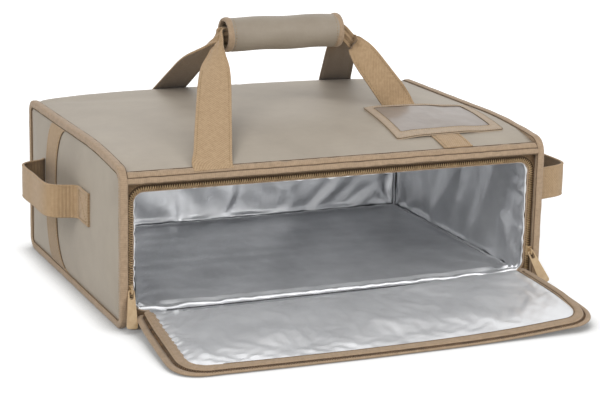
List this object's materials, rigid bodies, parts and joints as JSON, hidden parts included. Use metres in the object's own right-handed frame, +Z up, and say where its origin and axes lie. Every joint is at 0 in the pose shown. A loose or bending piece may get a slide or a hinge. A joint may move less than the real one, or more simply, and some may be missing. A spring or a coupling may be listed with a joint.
{
  "type": "pizza delivery bag",
  "caption": "Padded, foil-lined pizza delivery bag standing open: zip front flap folded down flat, webbing carry straps with a wrapped grip, side handles, clear label pocket.",
  "frame": {"origin": "middle of the base, on the plane that the bag stands on", "axes": "+X across the bag to the right as seen from the open front, -Y out of the open front, +Z up"},
  "size_m": [0.6286, 0.5478, 0.317],
  "materials": {
    "coated_fabric": "smooth coated fabric, soft sheen",
    "tan_binding": "woven binding tape, matte",
    "tan_webbing": "twill webbing, matte",
    "foil_lining": "aluminised film, crinkled",
    "foam": "closed-cell foam",
    "base_board": "plain sheet",
    "zip_tape": "knitted tape, matte",
    "zip_chain": "nylon coil",
    "enamelled_metal": "satin enamel",
    "clear_film": "clear glossy film",
    "hook_and_loop": "hook and loop"
  },
  "bodies": {
    "bag_body": {"top_back_wrap": "coated_fabric", "base_panel": "coated_fabric", "left_side_panel": "coated_fabric", "right_side_panel": "coated_fabric", "left_edge_binding": "tan_binding", "right_edge_binding": "tan_binding", "front_top_binding": "tan_binding", "top_foam": "foam", "back_foam": "foam", "base_foam": "foam", "left_foam": "foam", "right_foam": "foam", "base_board": "base_board", "top_lining": "foil_lining", "floor_lining": "foil_lining", "back_lining": "foil_lining", "left_lining": "foil_lining", "right_lining": "foil_lining", "zip_facing": "zip_tape", "sill_lining": "foil_lining", "body_zip_chain": "zip_chain", "left_zip_stop": "enamelled_metal", "right_zip_stop": "enamelled_metal", "hinge_tape": "tan_binding", "front_carry_strap": "tan_webbing", "rear_carry_strap": "tan_webbing", "grip_wrap": "coated_fabric", "grip_loop_tape": "hook_and_loop", "left_side_strip": "tan_webbing", "right_side_strip": "tan_webbing", "left_side_handle": "tan_webbing", "right_side_handle": "tan_webbing", "label_pocket_frame": "tan_binding", "label_window": "clear_film"},
    "front_flap": {"flap_rim_binding": "tan_binding", "flap_zip_tape": "zip_tape", "flap_zip_chain": "zip_chain", "flap_outer_panel": "coated_fabric", "flap_foam": "foam", "flap_lining": "foil_lining"},
    "left_zip_slider": {"left_slider": "enamelled_metal"},
    "right_zip_slider": {"right_slider": "enamelled_metal"},
    "left_zip_pull": {"left_pull": "enamelled_metal"},
    "right_zip_pull": {"right_pull": "enamelled_metal"},
    "grip_cover": {"grip_wrap_flap": "coated_fabric", "grip_hook_tape": "hook_and_loop"}
  },
  "joints": [
    {"name": "flap_hinge", "type": "hinge", "parent": "bag_body", "child": "front_flap", "pos_m": [0, -0.1905, 0.0073], "axis": [-1, 0, 0], "range_deg": [0, 90]},
    {"name": "left_zip_slide", "type": "slide", "parent": "bag_body", "child": "left_zip_slider", "axis": [0, 0, 1], "range_m": [0, 0.095]},
    {"name": "right_zip_slide", "type": "slide", "parent": "bag_body", "child": "right_zip_slider", "axis": [0, 0, 1], "range_m": [0, 0.095]},
    {"name": "left_pull_swing", "type": "hinge", "parent": "left_zip_slider", "child": "left_zip_pull", "pos_m": [-0.2548, -0.18999, 0.04566], "axis": [-1, 0, 0], "range_deg": [0, 110]},
    {"name": "right_pull_swing", "type": "hinge", "parent": "right_zip_slider", "child": "right_zip_pull", "pos_m": [0.2548, -0.18999, 0.04566], "axis": [-1, 0, 0], "range_deg": [0, 110]},
    {"name": "grip_cover_hinge", "type": "hinge", "parent": "bag_body", "child": "grip_cover", "pos_m": [0, 0, 0.317], "axis": [-1, 0, 0], "range_deg": [0, 100]}
  ]
}
